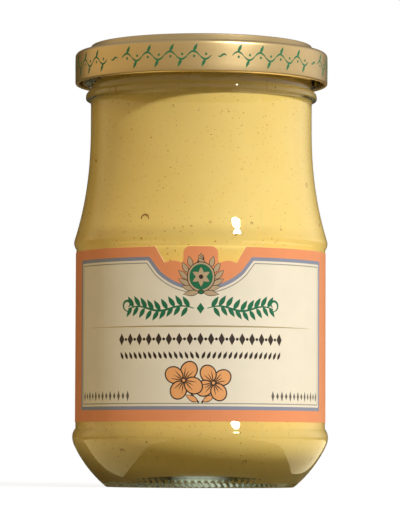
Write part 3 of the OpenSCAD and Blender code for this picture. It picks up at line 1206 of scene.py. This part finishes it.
class PocketsOperator(bpy.types.Operator):
    """Model the rims of small air pockets where the paste meets the glass, as dark tubes whose colour
    is painted shade
    """

    bl_idname = "mustard_jar.make_air_pockets"
    bl_label = "Air pocket shade"

    # Angle round from the front in degrees, height, radius and how much of the rim shows,
    # for the pockets on the front. Others are scattered round the sides and back.
    FRONT = (
        (-28.0, 63.5, 0.95, 200),
        (4.5, 62.4, 0.24, 360),
        (25.0, 62.3, 0.26, 300),
        (-4.5, 61.4, 0.2, 360),
        (-8.5, 61.2, 0.18, 280),
        (-12.5, 60.9, 0.16, 360),
        (41.0, 61.0, 0.2, 360),
        (-41.0, 9.2, 0.7, 150),
        (24.5, 7.2, 0.4, 260),
    )

    def execute(self, context):
        settings = context.scene.mustard_jar
        rng = random.Random(11)
        pockets = list(self.FRONT)
        for _ in range(26):
            height = rng.choice((rng.uniform(60, 93), rng.uniform(8, 13)))
            pockets.append(
                (rng.uniform(70, 290), height, rng.uniform(0.15, 0.55), rng.uniform(150, 360))
            )
        wall = inside_points(settings.glass, settings.mustard.bite)
        heights = [z for _, z in reversed(wall)]
        radii = [r for r, _ in reversed(wall)]
        points, faces = [], []
        sides, steps = 6, 12
        for turn, height, size, sweep in pockets:
            tube = 0.2 * size * MM + 0.03 * MM
            first = len(points)
            for i in range(steps + 1):
                a = math.radians(90 - sweep / 2 + sweep * i / steps)
                thin = tube * (0.35 + 0.65 * math.sin(math.pi * i / steps) ** 0.5)
                for j in range(sides):
                    b = TURN * j / sides
                    ring = size * MM + thin * math.cos(b)
                    z = height * MM + ring * math.sin(a)
                    r = float(np.interp(z, heights, radii)) + thin * math.sin(b)
                    angle = math.radians(turn - 90) + ring * math.cos(a) / r
                    points.append((r * math.cos(angle), r * math.sin(angle), z))
            for i in range(steps):
                for j in range(sides):
                    k = (j + 1) % sides
                    row, up = first + i * sides, first + (i + 1) * sides
                    faces.append((row + j, up + j, up + k, row + k))
            faces.append(tuple(first + j for j in range(sides)))
            faces.append(tuple(first + steps * sides + j for j in reversed(range(sides))))
        # The tubes are darkened bran: painted shade standing for the shadowed rim of each air pocket
        # against the glass.
        material = speck_material("painted shade at an air pocket's rim", settings.mustard.bran, 0.45)
        piece = plain_mesh("air_pockets", points, faces, material)
        piece.data.polygons.foreach_set("use_smooth", [True] * len(faces))
        place(piece, "mustard")
        return {"FINISHED"}


class LidOperator(bpy.types.Operator):
    """Draw the tinplate lid, with its rolled edge and four lugs"""

    bl_idname = "mustard_jar.make_lid"
    bl_label = "Lid"

    def execute(self, context):
        settings = context.scene.mustard_jar
        s = settings.lid
        outer, inner = lid_outline(s, settings.glass.neck_radius)
        tinplate = gold_tinplate(s)
        values = {"Columns": 240, "Sharp angle": math.radians(60), "Material": tinplate}
        section = (outer + inner)[::-1]
        shell = grow("lid_shell", line_mesh("lid half-section", section), lathe_tree(), values)
        place(shell, "lid", "lid")

        # One lug, pressed in from the curl, and its three copies.
        low, reach = LID_LOW.z, LID_HIGH.x - 2 * s.curl
        profile = [
            (reach + 0.1 * MM, low + 0.38 * MM),
            (reach - 1.4 * MM, low + 0.12 * MM),
            (reach - 1.7 * MM, low + 0.35 * MM),
            (reach - 1.65 * MM, low + 0.68 * MM),
            (reach + 0.1 * MM, low + 0.78 * MM),
        ]
        steps, corners = 16, len(profile)
        points, faces = [], []
        for i in range(steps + 1):
            a = math.radians(47 + 16 * i / steps)
            pull = 1 - 0.75 * (2 * i / steps - 1) ** 6
            for r, z in profile:
                r = reach + 0.1 * MM - (reach + 0.1 * MM - r) * pull
                points.append((r * math.cos(a), r * math.sin(a), z))
        for i in range(steps):
            for j in range(corners):
                k = (j + 1) % corners
                row, up = i * corners, (i + 1) * corners
                faces.append((row + j, row + k, up + k, up + j))
        faces.append(tuple(reversed(range(corners))))
        faces.append(tuple(steps * corners + j for j in range(corners)))
        lug = bpy.data.meshes.new("one lug")
        lug.from_pydata(points, [], faces)
        lugs = grow("lid_lugs", lug, ring_tree(), {"Count": 4, "Material": tinplate})
        place(lugs, "lid")
        return {"FINISHED"}


class LidPrintOperator(bpy.types.Operator):
    """Print a green vine round the lid's skirt"""

    bl_idname = "mustard_jar.print_lid"
    bl_label = "Lid print"

    def execute(self, context):
        s = context.scene.mustard_jar.lid
        skirt = LID_HIGH.x
        round_length = TURN * skirt / MM
        middle = LID_LOW.z / MM + 3.9
        # A gap between two lengths of vine lies a little to the right of the front.
        start = round_length * (0.025 - 4 / s.print_count)
        drawing, lines = vine_drawing(start, round_length, middle, s.print_count)
        flat, triangles = drawn_sheet(drawing, lines)
        printed = [(t, n) for t, n in triangles if n == "ink"]
        used = sorted({i for t, _ in printed for i in t})
        place_of = {old: new for new, old in enumerate(used)}
        printed = [(tuple(place_of[i] for i in t), n) for t, n in printed]
        flat = [flat[i] for i in used]
        piece = wrapped_solid(
            "lid_print", flat, printed, ["ink", "bare"], lambda x: skirt - 0.03 * MM,
            lambda x: skirt + 0.02 * MM
        )
        green = ink("green lid ink", s.print_colour, 0.35)
        piece.data.materials.append(green)
        piece.data.materials.append(green)
        place(piece, "lid")
        return {"FINISHED"}


class LabelOperator(bpy.types.Operator):
    """Print the label, cut it to shape and wrap it round the jar"""

    bl_idname = "mustard_jar.make_label"
    bl_label = "Label"

    def execute(self, context):
        settings = context.scene.mustard_jar
        s, paper = settings.label, settings.glass.paper
        outer_r = LABEL_HIGH.x
        half = (TURN * outer_r + s.lap) / 2 / MM
        low, high = LABEL_LOW.z / MM, LABEL_HIGH.z / MM
        lift_from = half - (s.lap / MM) - 3

        def lift(x):
            """How far the lapped end rides over the other end."""
            return paper * ease(x, lift_from, lift_from + 2.5)

        def outer(x):
            return outer_r + lift(x)

        def inner(x):
            # Sunk a hair into the glass, as glued paper is in full contact with it.
            return outer_r - paper - 0.02 * MM + lift(x) * 1.1

        lines = [(x, low, high) for x in np.linspace(-half, half, 122)[1:-1]]
        flat, triangles = drawn_sheet(label_drawing(half, low, high), lines)
        inks = {
            "salmon": ink("salmon offset ink", s.salmon, 0.42),
            "cream": ink("cream offset ink", s.cream, 0.45),
            "silver": ink("silver-grey offset ink", s.silver, 0.4),
            "green": ink("green offset ink", s.green, 0.4),
            "tan": ink("tan offset ink", s.tan, 0.45),
            "dark": ink("dark brown offset ink", s.dark, 0.45),
            "dark line": ink("fine brown line", blend(s.cream, s.dark, 0.6)),
            "soft dark": ink("small grey-brown marks", blend(s.cream, s.dark, 0.88)),
            "orange": ink("orange offset ink", s.orange, 0.45),
            "foil": ink("hot-stamped gold foil", s.foil, 0.3, 1.0),
            "bare": ink("bare label paper", linear("#EFE6D6"), 0.6),
        }
        piece = wrapped_solid("label_sheet", flat, triangles, list(inks), inner, outer)
        for material in inks.values():
            piece.data.materials.append(material)
        # Light that glances through the thick glass round the label's edges reaches the paste.
        piece.visible_shadow = False
        place(piece, "label", "label")
        return {"FINISHED"}


class StageOperator(bpy.types.Operator):
    """Set the camera, the soft boxes, the pale floor and the background"""

    bl_idname = "mustard_jar.set_stage"
    bl_label = "Stage"

    # Brightness round the horizon, by the angle to the right of the camera in degrees, and how
    # warm it is: the left side of the room is warm, and the right side is neutral.
    HORIZON = (
        (-180, 0.06, 1.0),
        (-138, 0.06, 1.0),
        (-122, 0.7, 1.0),
        (-95, 0.75, 1.0),
        (-60, 0.68, 0.9),
        (-25, 0.6, 0.6),
        (0, 0.62, 0.4),
        (35, 0.62, 0.1),
        (65, 0.8, 0.0),
        (105, 1.1, 0.0),
        (128, 1.0, 0.1),
        (148, 0.3, 0.4),
        (165, 0.06, 0.6),
        (180, 0.06, 1.0),
    )
    WARM = (1.0, 0.8, 0.47)
    FULL = 1.25  # the brightness that is 1 on the ramp

    # Name, corners on the floor in millimetres, and colour of each card. They lie just over the
    # floor, at CARD_HEIGHT.
    CARD_HEIGHT = 0.3 * MM
    CARD_STRENGTH = 1.8
    CARDS = (
        ("left card", ((-20, -16), (-21, -70), (-90, -70), (-90, 40)), (0.7, 0.58, 0.28)),
        (
            "right card",
            ((25, -11), (31, -21), (50, -70), (120, -70), (120, 160), (80, 143)),
            (1, 0.86, 0.52),
        ),
    )

    # Name, angle to the right of the camera, elevation, power, size and colour of each lamp.
    # All stand this many metres from the jar's middle.
    LAMP_REACH = 1.6
    LAMPS = (
        ("key", 35.5, 33, 18.8, (0.2, 0.08), (0.97, 1.03, 1.13)),
        ("right fill", 85, 20, 9, (0.8, 0.8), (0.98, 1, 1)),
        ("left fill", -75, 40, 5.5, (0.8, 0.8), (1, 0.84, 0.56)),
    )

    def execute(self, context):
        s = context.scene.mustard_jar.stage
        scene = context.scene
        lens = bpy.data.cameras.new("camera")
        lens.lens = s.lens
        lens.sensor_width = 36
        lens.clip_start = 0.02
        camera = bpy.data.objects.new("camera", lens)
        camera.location = (0, -s.distance, s.height)
        camera.rotation_euler = (math.pi / 2 + s.tilt, s.roll, 0)
        scene.collection.objects.link(camera)
        scene.camera = camera

        # The key lamp is small, high and to the right. The fills are soft and show in no
        # reflection.
        for name, angle, rise, power, size, tone in self.LAMPS:
            azimuth, elevation = math.radians(angle), math.radians(rise)
            way = Vector(
                (
                    math.sin(azimuth) * math.cos(elevation),
                    -math.cos(azimuth) * math.cos(elevation),
                    math.sin(elevation),
                )
            )
            data = bpy.data.lights.new(name, "AREA")
            data.shape = "ELLIPSE"
            data.size, data.size_y = size
            data.energy = power
            data.color = tone
            lamp = bpy.data.objects.new(name, data)
            lamp.location = Vector((0, 0, GLASS_HIGH.z / 2)) + way * self.LAMP_REACH
            lamp.rotation_euler = way.to_track_quat("Z", "Y").to_euler()
            lamp.visible_glossy = name == "key"
            scene.collection.objects.link(lamp)

        # The floor shines to the camera alone, and is white far off, so that no horizon shows.
        # To all other rays it is plain paint.
        material, tree = new_material("pale studio floor")
        ray = add_node(tree, "ShaderNodeLightPath")
        seen = add_node(
            tree, "ShaderNodeMath",
            {0: ray.outputs["Is Camera Ray"], 1: ray.outputs["Is Transmission Ray"]},
            operation="MAXIMUM"
        )
        here = add_node(tree, "ShaderNodeTexCoord").outputs["Object"]
        far = add_node(tree, "ShaderNodeVectorMath", {0: here}, operation="LENGTH")
        near = add_node(
            tree, "ShaderNodeMapRange",
            {
                "Value": far.outputs["Value"], "From Min": 0.12, "From Max": 0.5, "To Min": 0.84,
                "To Max": 1.0
            }
        )
        glow = add_node(tree, "ShaderNodeMath", {0: seen, 1: near}, operation="MULTIPLY")
        # What it scatters is warm, as next to the jar it is the paste's own light.
        tone = add_node(
            tree, "ShaderNodeMix", {"Factor": seen, 6: (0.22, 0.19, 0.1, 1), 7: (0.2, 0.2, 0.2, 1)},
            data_type="RGBA"
        )
        paint = add_node(tree, "ShaderNodeBsdfDiffuse", {"Color": tone.outputs[2]})
        light = add_node(tree, "ShaderNodeEmission", {"Strength": glow})
        both = add_node(tree, "ShaderNodeAddShader", {0: paint, 1: light})
        add_node(tree, "ShaderNodeOutputMaterial", {0: both})
        corners = [(-6, -6, 0), (6, -6, 0), (6, 6, 0), (-6, 6, 0)]
        floor = plain_mesh("studio_floor", corners, [(0, 1, 2, 3)], material)

        # Warm cards on the floor, left and right in front, that only show in reflections.
        for name, outline, tone in self.CARDS:
            material, tree = new_material(name)
            light = add_node(
                tree, "ShaderNodeEmission", {"Color": (*tone, 1), "Strength": self.CARD_STRENGTH}
            )
            add_node(tree, "ShaderNodeOutputMaterial", {0: light})
            corners = [(x * MM, y * MM, self.CARD_HEIGHT) for x, y in outline]
            card = plain_mesh(name, corners, [tuple(range(len(corners)))], material)
            card.visible_camera = False
            card.visible_diffuse = False
            card.visible_transmission = False
            card.visible_shadow = False

        # The world: white to the camera, and a soft room in reflections and for light.
        world = bpy.data.worlds.new("studio")
        world.use_nodes = True
        tree = world.node_tree
        tree.nodes.clear()
        way = add_node(tree, "ShaderNodeTexCoord").outputs["Generated"]
        part = add_node(tree, "ShaderNodeSeparateXYZ", {0: way})
        toward = add_node(tree, "ShaderNodeMath", {0: part.outputs["Y"], 1: -1}, operation="MULTIPLY")
        azimuth = add_node(
            tree, "ShaderNodeMath", {0: part.outputs["X"], 1: toward}, operation="ARCTAN2"
        )
        share = add_node(
            tree, "ShaderNodeMapRange", {"Value": azimuth, "From Min": -math.pi, "From Max": math.pi}
        )
        ramp = add_node(tree, "ShaderNodeValToRGB", {"Fac": share})
        stops = ramp.color_ramp.elements
        while len(stops) > 1:
            stops.remove(stops[-1])
        for i, (degrees, value, warmth) in enumerate(self.HORIZON):
            stop = stops[0] if i == 0 else stops.new(degrees / 360 + 0.5)
            stop.position = degrees / 360 + 0.5
            stop.color = (*[value / self.FULL * (1 + warmth * (w - 1)) for w in self.WARM], 1)
        overhead = add_node(
            tree, "ShaderNodeMapRange",
            {"Value": part.outputs["Z"], "From Min": 0.15, "From Max": 0.95},
            interpolation_type="SMOOTHSTEP"
        )
        room = add_node(
            tree, "ShaderNodeMix", {"Factor": overhead, 6: ramp, 7: (0.32, 0.32, 0.32, 1)},
            data_type="RGBA"
        )
        ray = add_node(tree, "ShaderNodeLightPath")
        seen = add_node(
            tree, "ShaderNodeMath",
            {0: ray.outputs["Is Camera Ray"], 1: ray.outputs["Is Transmission Ray"]},
            operation="MAXIMUM"
        )
        # The room is brighter in reflections than as a light.
        strength = add_node(
            tree, "ShaderNodeMath", {0: ray.outputs["Is Glossy Ray"], 1: 0.55, 2: 0.7},
            operation="MULTIPLY_ADD"
        )
        soft = add_node(tree, "ShaderNodeBackground", {"Color": room.outputs[2], "Strength": strength})
        white = add_node(tree, "ShaderNodeBackground", {"Color": (1, 1, 1, 1)})
        sky = add_node(tree, "ShaderNodeMixShader", {0: seen, 1: soft, 2: white})
        add_node(tree, "ShaderNodeOutputWorld", {0: sky})
        scene.world = world
        scene.view_settings.view_transform = "Standard"
        return {"FINISHED"}


STEPS = (
    StageOperator,
    GlassOperator,
    MustardOperator,
    SpecksOperator,
    PocketsOperator,
    LidOperator,
    LidPrintOperator,
    LabelOperator,
)
GROUPS = (GlassSizes, MustardLook, LidSizes, LabelLook, StageSettings, JarSettings)


class JarPanel(bpy.types.Panel):
    """Lists the steps and the settings that they read"""

    bl_idname = "VIEW3D_PT_mustard_jar"
    bl_label = "Mustard jar"
    bl_space_type = "VIEW_3D"
    bl_region_type = "UI"
    bl_category = "Mustard jar"

    def draw(self, context):
        for step in STEPS:
            self.layout.operator(step.bl_idname)
        settings = context.scene.mustard_jar
        for group in settings.bl_rna.properties:
            if group.type == "POINTER" and group.identifier != "rna_type":
                box = self.layout.box()
                held = getattr(settings, group.identifier)
                for item in held.bl_rna.properties:
                    if item.identifier not in ("rna_type", "name"):
                        box.prop(held, item.identifier)


def register():
    for group in (*GROUPS, *STEPS, JarPanel):
        bpy.utils.register_class(group)
    bpy.types.Scene.mustard_jar = PointerProperty(type=JarSettings)


def unregister():
    del bpy.types.Scene.mustard_jar
    for group in reversed((*GROUPS, *STEPS, JarPanel)):
        bpy.utils.unregister_class(group)


def main():
    """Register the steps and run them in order."""
    register()
    for step in STEPS:
        family, name = step.bl_idname.split(".")
        getattr(getattr(bpy.ops, family), name)()


if __name__ == "__main__":
    main()
